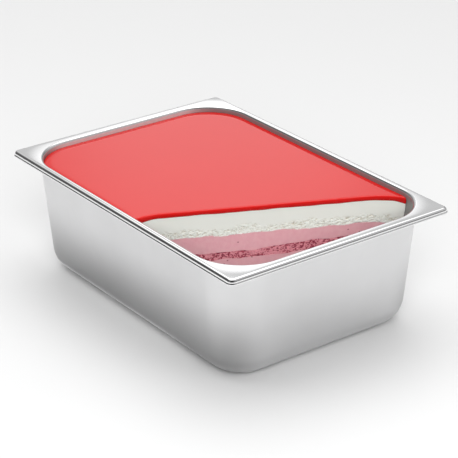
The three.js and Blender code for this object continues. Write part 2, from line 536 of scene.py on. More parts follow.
@dataclass(frozen=True)
class RedGlaze(Finish):
    """A mirror-smooth red glaze with faint clouds and ripples."""

    name: str = "red_glaze"
    colour: Colour = (0.64, 0.011, 0.009)
    thick_colour: Colour = (0.60, 0.008, 0.007)
    roughness: float = 0.05
    ior: float = 1.41
    cloud_scale: float = 14.0
    ripple_scale: float = 60.0
    ripple_roughness: float = 0.02
    ripple_depth_mm: float = 0.004
    glow: Glow = Glow(0.12, (1.0, 0.12, 0.10), 2.0)

    def inputs(self, bench: Bench, place: Wire) -> dict[str, object]:
        """Works out the Principled shader's inputs.

        Args:
            bench: The material's bench.
            place: The point on the object, in metres.

        Returns:
            The inputs, by name.
        """
        cloud = bench.noise(place, self.cloud_scale, 3.0)
        ripple = bench.noise(place, self.ripple_scale, 1.0)
        return {
            "Base Color": bench.mix(cloud, self.thick_colour, self.colour),
            "Roughness": self.roughness + (ripple - 0.5) * self.ripple_roughness,
            "IOR": self.ior,
            "Normal": bench.bump(ripple, self.ripple_depth_mm),
        } | self.glow.inputs()


@dataclass(frozen=True)
class WhiteCream(Finish):
    """Off-white cream, smooth at the top and full of small pits towards its foot, with beige
    painted shade in the pits and in the hollows between lumps.
    """

    name: str = "white_cream"
    colour: Colour = srgb(244, 247, 239)
    # Painted shade for the pits and the hollows between lumps.
    pit_shade_colour: Colour = srgb(211, 206, 190)
    blush_colour: Colour = srgb(236, 205, 205)
    cloud_scale: float = 180.0
    least_pit_shade: float = 0.55
    cloud_pit_shade: float = 0.7
    fine_scale: float = 1400.0
    roughness: float = 0.52
    fine_roughness: float = 0.1
    fine_depth_mm: float = 0.05
    glow: Glow = Glow(0.1, (1.0, 0.9, 0.8), 1.0)

    def inputs(self, bench: Bench, place: Wire) -> dict[str, object]:
        """Works out the Principled shader's inputs.

        Args:
            bench: The material's bench.
            place: The point on the object, in metres.

        Returns:
            The inputs, by name.
        """
        cloud = bench.noise(place, self.cloud_scale, 3.0)
        fine = bench.noise(place, self.fine_scale, 2.0)
        # Painted shade: darker beige where the pit mark holds pits and hollows.
        pitted = bench.named("pit") * (self.least_pit_shade + cloud * self.cloud_pit_shade)
        body = bench.mix(pitted, self.colour, self.pit_shade_colour)
        return {
            "Base Color": bench.mix(bench.named("blush"), body, self.blush_colour),
            "Roughness": self.roughness + (fine - 0.5) * self.fine_roughness,
            "Normal": bench.bump(fine, self.fine_depth_mm),
        } | self.glow.inputs()


@dataclass(frozen=True)
class PinkMousse(Finish):
    """Smooth pink mousse with a fine grain and a few dark flecks."""

    name: str = "pink_mousse"
    colour: Colour = srgb(240, 184, 190)
    deep_colour: Colour = srgb(237, 175, 184)
    fleck_colour: Colour = srgb(150, 50, 70)
    cloud_scale: float = 220.0
    cloud_limits: Range = (0.3, 0.7)
    fine_scale: float = 1500.0
    roughness: float = 0.5
    fine_roughness: float = 0.12
    fine_depth_mm: float = 0.05
    glow: Glow = Glow(0.1, (1.0, 0.5, 0.5), 1.0)

    def inputs(self, bench: Bench, place: Wire) -> dict[str, object]:
        """Works out the Principled shader's inputs.

        Args:
            bench: The material's bench.
            place: The point on the object, in metres.

        Returns:
            The inputs, by name.
        """
        cloud = bench.noise(place, self.cloud_scale, 4.0)
        fine = bench.noise(place, self.fine_scale, 2.0)
        tone = bench.mix(cloud.between(*self.cloud_limits), self.deep_colour, self.colour)
        return {
            "Base Color": bench.mix(bench.named("fleck"), tone, self.fleck_colour),
            "Roughness": self.roughness + (fine - 0.5) * self.fine_roughness,
            "Normal": bench.bump(fine, self.fine_depth_mm),
        } | self.glow.inputs()


@dataclass(frozen=True)
class RedCrumb(Finish):
    """Moist crumb: dark red flecks that run in chains through pink."""

    name: str = "red_crumb"
    colour: Colour = srgb(231, 150, 160)
    fleck_colour: Colour = srgb(176, 72, 92)
    dark_colour: Colour = srgb(132, 28, 50)
    fleck_limits: Range = (0.05, 0.6)
    dark_limits: Range = (0.55, 1.0)
    fine_scale: float = 900.0
    roughness: float = 0.45
    fine_roughness: float = 0.2
    fine_depth_mm: float = 0.12

    def inputs(self, bench: Bench, place: Wire) -> dict[str, object]:
        """Works out the Principled shader's inputs.

        Args:
            bench: The material's bench.
            place: The point on the object, in metres.

        Returns:
            The inputs, by name.
        """
        fine = bench.noise(place, self.fine_scale, 3.0)
        fleck = bench.named("fleck")
        tone = bench.mix(fleck.between(*self.fleck_limits), self.colour, self.fleck_colour)
        return {
            "Base Color": bench.mix(fleck.between(*self.dark_limits), tone, self.dark_colour),
            "Roughness": self.roughness + (fine - 0.5) * self.fine_roughness,
            "Normal": bench.bump(fine, self.fine_depth_mm),
        }


@dataclass(frozen=True)
class DarkGrain(Finish):
    """The dark red of the crumb's separate grains."""

    name: str = "dark_grain"
    colour: Colour = srgb(178, 66, 86)
    dark_colour: Colour = srgb(134, 30, 52)
    tone_scale: float = 420.0
    tone_limits: Range = (0.35, 0.65)
    roughness: float = 0.4
    tone_roughness: float = 0.1

    def inputs(self, bench: Bench, place: Wire) -> dict[str, object]:
        """Works out the Principled shader's inputs.

        Args:
            bench: The material's bench.
            place: The point on the object, in metres.

        Returns:
            The inputs, by name.
        """
        tone = bench.noise(place, self.tone_scale, 2.0)
        share = tone.between(*self.tone_limits)
        return {
            "Base Color": bench.mix(share, self.dark_colour, self.colour),
            "Roughness": self.roughness + tone * self.tone_roughness,
        }


@dataclass(frozen=True)
class PaleFloor(Finish):
    """The plain pale floor of the studio."""

    name: str = "pale_floor"
    colour: Colour = (0.755, 0.755, 0.755)

    def shader(self, bench: Bench) -> Wire:
        """Gives a plain matt shader."""
        return bench.wire("ShaderNodeBsdfDiffuse", inputs={"Color": self.colour})


# ---- Meshes ------------------------------------------------------------------------------------


@dataclass
class RingStack:
    """A closed surface through a stack of rings of one size, with a fan over each end."""

    rings: list[np.ndarray] = field(default_factory=list)
    marks: list[dict[str, np.ndarray]] = field(default_factory=list)

    def add(self, ring: np.ndarray, **marks: np.ndarray) -> None:
        """Adds a ring on top.

        Args:
            ring: Its points, in millimetres.
            marks: Numbers to keep at its first points, by name. The others keep zero.
        """
        self.rings.append(ring)
        self.marks.append(marks)

    def to_object(
        self, name: str, material: bpy.types.Material, crease_deg: float
    ) -> bpy.types.Object:
        """Makes the Blender object.

        Args:
            name: The object's name.
            material: Its finish.
            crease_deg: Edges that turn more than this are sharp.

        Returns:
            The object, in the scene.
        """
        size, count = len(self.rings[0]), len(self.rings)
        here = np.arange(size)
        after = (here + 1) % size
        base = np.arange(count - 1)[:, None] * size
        sides = [base + here, base + after, base + size + after, base + size + here]
        last = (count - 1) * size
        low, high = np.full(size, count * size), np.full(size, count * size + 1)
        faces = np.stack(sides, axis=2).reshape(-1, 4).tolist()
        faces += np.stack([after, here, low], axis=1).tolist()
        faces += np.stack([last + here, last + after, high], axis=1).tolist()
        hubs = [ring.mean(axis=0) for ring in (self.rings[0], self.rings[-1])]
        points = np.concatenate([*self.rings, hubs]) * MM
        mesh = bpy.data.meshes.new(name)
        mesh.from_pydata(points.tolist(), [], faces)
        for mark in sorted(set().union(*self.marks)):
            values = np.zeros(len(points), dtype=np.float32)
            for k, marks in enumerate(self.marks):
                if mark in marks:
                    values[k * size : k * size + len(marks[mark])] = marks[mark]
            mesh.attributes.new(mark, "FLOAT", "POINT").data.foreach_set("value", values)
        mesh.materials.append(material)
        return place_mesh(name, mesh, crease_deg)


def place_mesh(name: str, mesh: bpy.types.Mesh, crease_deg: float) -> bpy.types.Object:
    """Puts a mesh in the scene, turned outwards and smoothly shaded.

    Args:
        name: The object's name.
        mesh: A closed mesh.
        crease_deg: Edges that turn more than this are sharp.

    Returns:
        The object.
    """
    if signed_volume(mesh) < 0.0:
        mesh.flip_normals()
    mesh.shade_smooth()
    mesh.set_sharp_from_angle(angle=math.radians(crease_deg))
    mesh.validate()
    thing = bpy.data.objects.new(name, mesh)
    bpy.context.scene.collection.objects.link(thing)
    return thing


def signed_volume(mesh: bpy.types.Mesh) -> float:
    """Gives a closed mesh's volume.

    Args:
        mesh: The mesh.

    Returns:
        The volume, less than zero where the mesh is inside out.
    """
    mesh.calc_loop_triangles()
    points = np.empty(len(mesh.vertices) * 3)
    mesh.vertices.foreach_get("co", points)
    corners = np.empty(len(mesh.loop_triangles) * 3, dtype=np.int32)
    mesh.loop_triangles.foreach_get("vertices", corners)
    a, b, c = points.reshape(-1, 3)[corners.reshape(-1, 3)].transpose(1, 0, 2)
    return float(np.einsum("ij,ij->i", a, np.cross(b, c)).sum() / 6.0)


@dataclass(frozen=True)
class Plan:
    """A rounded rectangle in plan at one height."""

    half_x: float
    half_y: float
    radius: float
    z: float

    def outline(self, corner_steps: int, side_steps: int) -> np.ndarray:
        """Gives the rectangle's outline, against the clock from the +X side's top end.

        Args:
            corner_steps: Steps round each corner.
            side_steps: Steps along each side.

        Returns:
            The points, with their height.
        """
        arcs = []
        for corner in range(4):
            middle = (
                (self.half_x - self.radius) * (1 if corner in (0, 3) else -1),
                (self.half_y - self.radius) * (1 if corner < 2 else -1),
            )
            angle = (corner + np.linspace(0.0, 1.0, corner_steps + 1)) * math.pi / 2
            turn = np.stack([np.cos(angle), np.sin(angle)], axis=1)
            arcs.append(np.array(middle) + self.radius * turn)
        share = np.linspace(0.0, 1.0, side_steps + 1)[1:-1, None]
        points = []
        for corner in range(4):
            start, end = arcs[corner][-1], arcs[(corner + 1) % 4][0]
            points += [arcs[corner], start + (end - start) * share]
        flat = np.concatenate(points)
        return np.column_stack([flat, np.full(len(flat), self.z)])

    def depth(self, points: np.ndarray) -> np.ndarray:
        """Gives how far points are inside the rectangle.

        Args:
            points: Places in plan.

        Returns:
            The distance to the outline, less than zero outside it.
        """
        past = np.abs(points[:, :2]) - (np.array([self.half_x, self.half_y]) - self.radius)
        return self.radius - np.hypot(*np.maximum(past, 0.0).T) - np.minimum(past.max(axis=1), 0.0)

    def holds(self, points: np.ndarray) -> np.ndarray:
        """Says which points in plan are inside the rectangle."""
        return self.depth(points) > 0.0


# ---- The pan -----------------------------------------------------------------------------------


@dataclass(frozen=True)
class PanForm:
    """The pan's sizes, and the outlines that follow from them."""

    length: float = 360.0
    width: float = 250.0
    height: float = 120.0
    sheet: float = 0.8
    flange_end: float = 9.2
    flange_side: float = 5.6
    lip: float = 5.4
    lip_flare: float = 0.7
    lip_step: float = 3.51
    lip_round: float = 3.2
    rim_corner: float = 6.5
    opening_corner: float = 50.0
    bend: float = 3.0
    draft_deg: float = 4.55
    body_corner: float = 41.0
    shoulder: float = 14.0
    body_corner_foot: float = 35.5
    foot: float = 26.0

    @property
    def wall_top(self) -> float:
        """Where the bend ends and the wall starts."""
        return self.height - self.bend

    def plan(self, inset_x: float, inset_y: float, z: float, radius: float) -> Plan:
        """Gives the rim's rectangle, drawn in on each axis."""
        return Plan(self.length / 2 - inset_x, self.width / 2 - inset_y, radius, z)

    def wall_corner(self, z: float, offset: float) -> float:
        """Gives the walls' corner radius.

        Args:
            z: The height.
            offset: How far inside the steel's inner face.

        Returns:
            The radius.
        """
        below = self.wall_top - z
        top = self.opening_corner - self.bend
        tight = top + (self.body_corner - top) * smooth(0.0, self.shoulder, below)
        return tight - (self.body_corner - self.body_corner_foot) * below / self.height - offset

    def foot_round(self, offset: float) -> Triple:
        """Gives the round between wall and floor.

        Args:
            offset: How far inside the steel's inner face.

        Returns:
            The floor's height, the round's radius, and the height where it meets the wall.
        """
        bottom = self.sheet + offset
        radius = self.foot - self.sheet - offset
        return bottom, radius, bottom + radius * (1.0 - math.sin(math.radians(self.draft_deg)))

    def hollow(self, z: float, offset: float) -> Plan:
        """Gives the pan's inside at a height, from its floor to its walls' top.

        Args:
            z: The height.
            offset: How far inside the steel's inner face. A negative one gives the outer face.

        Returns:
            The outline in plan.
        """
        slope = math.radians(self.draft_deg)
        bottom, foot, foot_top = self.foot_round(offset)

        def wall_inset(height: float) -> float:
            """Gives how far the wall is inside the opening's outer edge."""
            drop = self.wall_top - height
            return drop * math.tan(slope) + self.bend + offset / math.cos(slope)

        if z >= foot_top:
            inset, radius = wall_inset(z), self.wall_corner(z, offset)
        else:
            rise = min(1.0, max(0.0, 1.0 - (z - bottom) / foot))
            inset = wall_inset(foot_top) + foot * (math.cos(slope) - math.sqrt(1.0 - rise * rise))
            radius = self.wall_corner(foot_top, offset) - (inset - wall_inset(foot_top))
        return self.plan(self.flange_end + inset, self.flange_side + inset, z, radius)


@dataclass
class Pan:
    """The steel pan: one pressed sheet with a flat rim and a turned-down lip."""

    form: PanForm
    finish: PressedSteel = field(default_factory=PressedSteel)
    corner_steps: int = 28
    side_steps: int = 8
    bend_steps: int = 9
    foot_steps: int = 14
    lip_steps: int = 6
    inside_from: Range = (0.8, 2.6)

    WALL_DROPS = (0.0, 1.5, 3.0, 5.0, 7.0, 9.0, 11.0, 14.0, 22.0, 40.0, 64.0)

    def build(self) -> bpy.types.Object:
        """Makes the pan and gives it its finish.

        Returns:
            The pan.
        """
        within = [*reversed(self._wall(0.0)), *reversed(self._bend(0.0))]
        without = [*self._lip(), *self._bend(self.form.sheet), *self._wall(-self.form.sheet)]
        stack = RingStack()
        for plan in within:
            ring = plan.outline(self.corner_steps, self.side_steps)
            stack.add(ring, inside=smooth(*self.inside_from, self.form.height - ring[:, 2]))
        for plan in without:
            stack.add(plan.outline(self.corner_steps, self.side_steps))
        return stack.to_object("steel_pan", self.finish.make(), 60.0)

    def _wall(self, offset: float) -> list[Plan]:
        """Gives the wall and foot, from the bend down to the flat floor.

        Args:
            offset: How far inside the steel's inner face.

        Returns:
            The outlines, from the top down.
        """
        form = self.form
        bottom, foot, foot_top = form.foot_round(offset)
        slope = math.radians(form.draft_deg)
        heights = [form.wall_top - drop for drop in self.WALL_DROPS] + [foot_top]
        for step in range(1, self.foot_steps + 1):
            angle = slope + (math.pi / 2 - slope) * step / self.foot_steps
            heights.append(bottom + foot * (1.0 - math.sin(angle)))
        return [form.hollow(z, offset) for z in heights]

    def _bend(self, depth: float) -> list[Plan]:
        """Gives the round from the flange into the wall.

        Args:
            depth: How far under the steel's upper face.

        Returns:
            The outlines, from the flange inwards.
        """
        form = self.form
        radius = form.bend - depth
        plans = []
        for step in range(self.bend_steps):
            angle = math.radians(90.0 - form.draft_deg) * step / self.bend_steps
            inset = radius * math.sin(angle)
            z = form.wall_top + radius * math.cos(angle)
            corner = form.opening_corner - inset
            plans.append(form.plan(form.flange_end + inset, form.flange_side + inset, z, corner))
        return plans

    def _lip(self) -> list[Plan]:
        """Gives the rim's outer edge: rounded over, down, stepped out, and back up inside.

        Returns:
            The outlines, in that order.
        """
        form, flare, step = self.form, self.form.lip_flare, self.form.lip_step
        outer = []
        for k in range(self.lip_steps + 1):
            angle = math.pi / 2 * k / self.lip_steps
            inset = flare + form.lip_round * (1.0 - math.sin(angle))
            outer.append((inset, form.lip_round * (1.0 - math.cos(angle))))
        outer += [
            (flare, step - 0.2),
            (flare * 0.9, step + 0.05),
            (flare * 0.5, step + flare * 0.5),
            (flare * 0.1, step + flare - 0.05),
            (0.0, step + flare + 0.2),
            (0.0, form.lip - 0.25),
            (0.1, form.lip - 0.07),
            (0.25, form.lip),
            (form.sheet - 0.15, form.lip),
            (form.sheet, form.lip - 0.15),
            (form.sheet, step + flare + 0.4),
            (flare + form.sheet, step + 0.4),
            (flare + form.sheet, form.lip_round),
            (flare + form.lip_round, form.sheet),
        ]
        return [
            form.plan(inset, inset, form.height - drop, max(0.5, form.rim_corner - inset))
            for inset, drop in outer
        ]


# ---- The dessert -------------------------------------------------------------------------------


@dataclass(frozen=True)
class Cut:
    """The knife's run in plan, straight in the middle and sweeping forward near both walls.

    Places along it are counted from its start, and search says where the walls are looked for.
    """

    start: tuple[float, float] = (21.1, -91.8)
    angle_deg: float = 64.6
    left_bend: float = 4.0
    left_sweep: float = 6.5
    left_reach: float = 24.0
    left_power: float = 1.8
    left_most: float = 14.0
    right_bend: float = 190.0
    right_sweep: float = 11.5
    right_reach: float = 46.0
    right_power: float = 2.8
    right_most: float = 22.0
    search: Triple = (-70.0, 290.0, 0.5)
    halvings: int = 14

    @property
    def along(self) -> np.ndarray:
        """The run's direction."""
        angle = math.radians(self.angle_deg)
        return np.array([math.cos(angle), math.sin(angle)])

    @property
    def forward(self) -> np.ndarray:
        """The direction out of the cut face, into the emptied corner."""
        along = self.along
        return np.array([along[1], -along[0]])

    def sweep(self, u: np.ndarray) -> np.ndarray:
        """Gives how far the cut comes forward of its straight run.

        Args:
            u: Places along the run.

        Returns:
            The distance at each place.
        """
        left = np.maximum(0.0, (self.left_bend - u) / self.left_reach) ** self.left_power
        right = np.maximum(0.0, (u - self.right_bend) / self.right_reach) ** self.right_power
        return np.minimum(self.left_sweep * left, self.left_most) + np.minimum(
            self.right_sweep * right, self.right_most
        )

    def points(self, u: np.ndarray, out: np.ndarray | float) -> np.ndarray:
        """Gives points near the cut.

        Args:
            u: Places along the run.
            out: How far in front of the cut face.

        Returns:
            The points in plan.
        """
        reach = (self.sweep(u) + out)[:, None]
        return np.array(self.start) + self.along * u[:, None] + self.forward * reach

    def measure(self, points: np.ndarray) -> tuple[np.ndarray, np.ndarray]:
        """Finds where points in plan are along the cut and behind it.

        Args:
            points: The points.

        Returns:
            The distance along the run and the distance behind the cut face.
        """
        away = points[:, :2] - np.array(self.start)
        u = away @ self.along
        return u, self.sweep(u) - away @ self.forward

    def ends(self, plan: Plan, out: float) -> tuple[float, float]:
        """Finds where the cut meets the walls.

        Args:
            plan: The walls' outline.
            out: How far in front of the cut face.

        Returns:
            The first and the last place along the cut that is inside the walls.
        """
        u = np.arange(*self.search)
        inside = np.flatnonzero(plan.holds(self.points(u, out)))
        ends = []
        for within, beyond in ((inside[0], inside[0] - 1), (inside[-1], inside[-1] + 1)):
            low, high = u[within], u[beyond]
            for _ in range(self.halvings):
                middle = (low + high) / 2
                if plan.holds(self.points(np.array([middle]), out))[0]:
                    low = middle
                else:
                    high = middle
            ends.append(low)
        return ends[0], ends[1]


class Layer(Enum):
    """The dessert's layers, from the top down, by the names of their nodes."""

    GLAZE = "glaze"
    CREAM = "white_cream"
    MOUSSE = "pink_mousse"
    CRUMB = "red_crumb"
    BASE = "pink_base"


@dataclass(frozen=True)
class Seam:
    """The line where a layer meets the next one down.

    Ripple and climb are its shares of what the levels give for all lines.
    """

    height: float
    ripple: float
    phase: float
    climb: float = 0.0


@dataclass(frozen=True)
class Sag:
    """The stretch, counted outwards, over which the glaze comes to hang lower, and by how much."""

    run: Range
    drop: float


@dataclass(frozen=True)
class Levels:
    """The heights at which the layers meet, and how the lines between them wander.

    Each ripple is a length, a factor on the line's phase, and a height. They end behind the cut.
    """

    glaze_top: float = 114.8
    glaze: Seam = Seam(110.0, 0.25, 1.1)
    cream: Seam = Seam(87.5, 0.8, 0.4)
    mousse: Seam = Seam(73.5, 0.8, 2.2, 1.0)
    crumb: Seam = Seam(64.6, 0.7, 3.9, 0.6)
    floor: float = 1.1
    climb: float = 6.6
    climb_run: Range = (60.0, 200.0)
    ripples: tuple[Triple, ...] = ((6.1, 1.0, 0.5), (3.7, 2.3, 0.35), (13.0, -1.0, 0.6))
    ripples_end: Range = (4.0, 40.0)
    left_sag: Sag = Sag((0.0, 18.0), 1.1)
    right_sag: Sag = Sag((222.0, 236.0), 2.1)

    def underside(self, layer: Layer, u: np.ndarray, v: np.ndarray) -> np.ndarray:
        """Gives a layer's underside.

        Args:
            layer: The layer.
            u: Place along the cut.
            v: Distance behind the cut face.

        Returns:
            The height.
        """
        seams = (self.glaze, self.cream, self.mousse, self.crumb)
        seam = dict(zip(Layer, seams)).get(layer)
        if seam is None:
            return np.full_like(u, self.floor)
        ripple = 0.0
        for length, turn, height in self.ripples:
            ripple = ripple + height * np.sin(u / length + seam.phase * turn)
        near = 1.0 - smooth(*self.ripples_end, v)
        rise = self.climb * (smooth(*self.climb_run, u) - 0.5)
        line = seam.height + seam.climb * rise + seam.ripple * (near * ripple)
        return line - self._sag(u) if layer is Layer.GLAZE else line

    def _sag(self, u: np.ndarray) -> np.ndarray:
        """Gives how far the glaze hangs down at the cut's two ends."""
        left, right = self.left_sag, self.right_sag
        return left.drop * smooth(*left.run, -u) + right.drop * smooth(*right.run, u)


@dataclass(frozen=True)
class Filling:
    """The space that the dessert fills: the pan's inside, behind the cut."""

    pan: PanForm
    cut: Cut
    levels: Levels
    gap: float = 0.3
    front_steps: int = 560
    back_steps: int = 150
    corner_steps: int = 48
    least_radius: float = 2.0

    def ring(self, z: float, inset: float, out: float) -> tuple[np.ndarray, np.ndarray]:
        """Gives the dessert's outline in plan at one height.

        Args:
            z: The height that sets the walls' place.
            inset: How far inside the walls.
            out: How far in front of the cut face.

        Returns:
            The points, front first from left to right and then back round the walls, and each
            one's place along the cut.
        """
        plan = self.pan.hollow(z, self.gap + inset)
        plan = Plan(plan.half_x, plan.half_y, max(plan.radius, self.least_radius), z)
        low, high = self.cut.ends(plan, out)
        u = np.linspace(low, high, self.front_steps + 1)
        front = self.cut.points(u, out)
        back = self._round(plan, front[-1], front[0])
        points = np.concatenate([front, back])
        return points, self.cut.measure(points)[0]

    def _round(self, plan: Plan, start: np.ndarray, end: np.ndarray) -> np.ndarray:
        """Follows the walls from one end of the cut to the other, against the clock.

        Args:
            plan: The walls' outline.
            start: Where the cut's right end meets the wall.
            end: Where its left end does.

        Returns:
            The points between the two, without them.
        """
        loop = plan.outline(self.corner_steps, 2)[:, :2]
        loop = np.concatenate([loop, loop[:1]])
        steps = np.hypot(*np.diff(loop, axis=0).T)
        length = np.concatenate([[0.0], np.cumsum(steps)])

        def place(point: np.ndarray) -> float:
            """Finds how far along the loop a point is.

            Args:
                point: The point.

            Returns:
                The distance from the loop's start.
            """
            leg = np.diff(loop, axis=0)
            along_leg = ((point - loop[:-1]) * leg).sum(1)
            share = np.clip(along_leg / np.maximum(steps, 1e-9) ** 2, 0, 1)
            away = np.hypot(*(loop[:-1] + leg * share[:, None] - point).T)
            k = int(np.argmin(away))
            return length[k] + share[k] * steps[k]

        first, last = place(start), place(end)
        if last < first:
            last += length[-1]
        along = np.linspace(first, last, self.back_steps + 2)[1:-1] % length[-1]
        return np.column_stack([np.interp(along, length, loop[:, k]) for k in (0, 1)])


@dataclass
class CutLayer:
    """One layer of the filling, which shows at the cut.

    The layer's face there has relief, and its top and underside are hidden by its neighbours.
    """

    filling: Filling
    layer: Layer
    above: Layer
    finish: Finish
    rows: int
    clearance: float = 0.04
    edge_fade: float = 2.5

    CAPS = (30.0, 8.0)
    PROBES = np.linspace(0.0, 200.0, 9)
    PROBED_BEHIND = 60.0

    def build(self) -> bpy.types.Object:
        """Makes the layer and gives it its finish.

        Returns:
            The layer.
        """
        stack = RingStack()
        for inset in self.CAPS:
            stack.add(self._cap(0.0, inset))
        for share in self.shares():
            ring, marks = self._row(float(share))
            stack.add(ring, **marks)
        for inset in reversed(self.CAPS):
            stack.add(self._cap(1.0, inset))
        return stack.to_object(self.name(), self.finish.make(), 70.0)

    def name(self) -> str:
        """Names the piece."""
        return f"{self.layer.value}_layer"

    def shares(self) -> np.ndarray:
        """Gives the rows' places, from 0 at the underside to 1 at the top."""
        return np.linspace(0.0, 1.0, self.rows + 1)

    def height(self, share: float, u: np.ndarray, v: np.ndarray) -> np.ndarray:
        """Gives the height of one row.

        Args:
            share: The row's place from the underside to the top.
            u: Place along the cut.
            v: Distance behind the cut face.

        Returns:
            The height at each place.
        """
        levels = self.filling.levels
        low = levels.underside(self.layer, u, v)
        high = levels.underside(self.above, u, v) - self.clearance
        return low + (high - low) * share

    def relief(self, u: np.ndarray, z: np.ndarray) -> tuple[np.ndarray, dict[str, np.ndarray]]:
        """Gives the cut face's relief and the marks that its finish reads.

        Args:
            u: Places along the cut.
            z: Their heights.

        Returns:
            How far the face stands out, and the marks by name.
        """
        raise NotImplementedError

    def _nominal(self, share: float) -> float:
        """Gives the mean height of one row, well behind the cut, which sets the walls' place."""
        behind = np.full_like(self.PROBES, self.PROBED_BEHIND)
        return float(np.mean(self.height(share, self.PROBES, behind)))

    def _row(self, share: float) -> tuple[np.ndarray, dict[str, np.ndarray]]:
        """Gives one ring of the layer's outside.

        Args:
            share: The row's place from the underside to the top.

        Returns:
            The ring and its marks, by name.
        """
        cut, size = self.filling.cut, self.filling.front_steps + 1
        nominal = self._nominal(share)
        points, u = self.filling.ring(nominal, 0.0, 0.0)
        z = self.height(share, u, cut.measure(points)[1])
        front = u[:size]
        edge = smooth(0.0, self.edge_fade, front - front[0])
        edge = edge * smooth(0.0, self.edge_fade, front[-1] - front)
        out, marks = self.relief(front, z[:size])
        points[:size] = cut.points(front, out * edge)
        slope = math.tan(math.radians(self.filling.pan.draft_deg))
        shift = (z - nominal)[size:, None] * slope
        away = points[size:] / np.hypot(*points[size:].T)[:, None]
        points[size:] += away * np.minimum(shift, 0.0)
        return np.column_stack([points, z]), {name: mark * edge for name, mark in marks.items()}

    def _cap(self, share: float, inset: float) -> np.ndarray:
        """Gives one ring of the layer's hidden top or underside.

        Args:
            share: 0 for the underside or 1 for the top.
            inset: How far inside the layer's outside.

        Returns:
            The ring.
        """
        points, u = self.filling.ring(self._nominal(share), inset, -inset)
        z = self.height(share, u, self.filling.cut.measure(points)[1])
        return np.column_stack([points, z])


@dataclass
class Cream(CutLayer):
    """The white cream: smooth at the top, ragged and pitted towards its foot."""

    seed: int = 11
    swell: Grid = Grid(11.0, 9.0)
    swell_height: float = 0.12
    rough_below: float = 96.0
    rough_fade: Range = (-2.0, 1.5)
    limit_waves: tuple[Range, ...] = ((17.0, 2.2), (5.0, 1.0))
    warp: Grid = Grid(2.4, 1.9)
    warp_along: float = 1.1
    warp_up: float = 0.6
    pits: Grid = Grid(2.7, 1.5)
    pit_edge: Range = (0.05, 0.55)
    pit_chosen: Range = (0.35, 0.8)
    pit_depth: float = 0.9
    lumps: Grid = Grid(2.2, 1.7)
    lump_height: float = 0.5
    hollow_from: Range = (-0.55, -0.1)
    hollow_shade: float = 0.5
    blush_rise: Range = (0.1, 0.9)
    blush_share: float = 0.8
    bits_rise: Range = (0.5, 7.0)
    bits_patch: Grid = Grid(6.0, 3.0, shift=3.0)
    bits_chosen: Range = (-0.1, 0.5)

    def relief(self, u: np.ndarray, z: np.ndarray) -> tuple[np.ndarray, dict[str, np.ndarray]]:
        """Gives pits and lumps in the lower part, with a wandering upper limit.

        Args:
            u: Places along the cut.
            z: Their heights.

        Returns:
            How far the face stands out, and the marks by name.
        """
        noise = Unevenness(self.seed)
        limit = self.rough_below
        for row, (length, height) in enumerate(self.limit_waves):
            limit = limit + height * noise.waves(u / length, np.full_like(u, 4.0 * row))
        rough = 1.0 - smooth(*self.rough_fade, z - limit)
        warp = self.warp_along * noise.waves(*self.warp.at(u, z))
        along, up = self.pits.at(u, z)
        away, mark = noise.cells(along + warp, up + self.warp_up * warp)
        pit = (1.0 - smooth(*self.pit_edge, away)) * smooth(*self.pit_chosen, mark) * rough
        lumps = noise.fractal(*self.lumps.at(u, z), 3)
        out = self.swell_height * noise.fractal(*self.swell.at(u, z), 2)
        out = out + rough * (self.lump_height * lumps) - self.pit_depth * pit
        # Painted shade: the pit mark holds the pits and the hollows between lumps, which the
        # finish colours darker.
        hollow = rough * (1.0 - smooth(*self.hollow_from, lumps)) * self.hollow_shade
        shade = np.clip(pit + hollow, 0.0, 1.0)
        foot = self.filling.levels.underside(Layer.CREAM, u, np.zeros_like(u))
        blush = (1.0 - smooth(*self.blush_rise, z - foot)) * self.blush_share
        patch = smooth(*self.bits_chosen, noise.waves(*self.bits_patch.at(u, z)))
        bits = (1.0 - smooth(*self.bits_rise, z - foot)) * patch
        return out, {"pit": shade, "blush": blush, "bits": bits}


@dataclass
class Mousse(CutLayer):
    """Pink mousse, nearly smooth, with a few stray flecks."""

    seed: int = 23
    smears: Grid = Grid(9.0, 5.0)
    smear_height: float = 0.14
    grain: Grid = Grid(1.5, 1.2)
    grain_height: float = 0.05
    flecks: Grid = Grid(3.4, 2.6)
    fleck_edge: Range = (0.1, 0.3)
    fleck_share: float = 0.985

    def relief(self, u: np.ndarray, z: np.ndarray) -> tuple[np.ndarray, dict[str, np.ndarray]]:
        """Gives shallow smears and rare flecks.

        Args:
            u: Places along the cut.
            z: Their heights.

        Returns:
            How far the face stands out, and the marks by name.
        """
        noise = Unevenness(self.seed)
        out = self.smear_height * noise.fractal(*self.smears.at(u, z), 3)
        out = out + self.grain_height * noise.fractal(*self.grain.at(u, z), 2)
        away, mark = noise.cells(*self.flecks.at(u, z))
        fleck = (1.0 - smooth(*self.fleck_edge, away)) * (mark > self.fleck_share)
        return out, {"fleck": fleck * 1.0}


@dataclass
class Base(Mousse):
    """The mousse under the crumb, down to the pan's floor."""

    follows_from: Range = (0.5, 1.0)

    FOOT_ROWS = (0.0, 0.004, 0.012, 0.024, 0.04, 0.06, 0.085, 0.115, 0.15, 0.19, 0.24, 0.30)
    MIDDLE_ROWS = (0.36, 0.68, 7)
    FACE_FROM = 0.70

    def shares(self) -> np.ndarray:
        """Gives rows close together near the top, where the face shows.

        Returns:
            The rows' places, from 0 at the underside to 1 at the top.
        """
        middle = np.linspace(*self.MIDDLE_ROWS)
        face = np.linspace(self.FACE_FROM, 1.0, self.rows)
        return np.concatenate([self.FOOT_ROWS, middle, face])

    def height(self, share: float, u: np.ndarray, v: np.ndarray) -> np.ndarray:
        """Gives the height of one row: level low down, and along the crumb near the top.

        Args:
            share: The row's place from the underside to the top.
            u: Place along the cut.
            v: Distance behind the cut face.

        Returns:
            The height at each place.
        """
        levels = self.filling.levels
        mean = levels.crumb.height
        high = levels.underside(self.above, u, v) - self.clearance
        level = levels.floor + (mean - self.clearance - levels.floor) * share
        return level + (high - mean + self.clearance) * smooth(*self.follows_from, share)


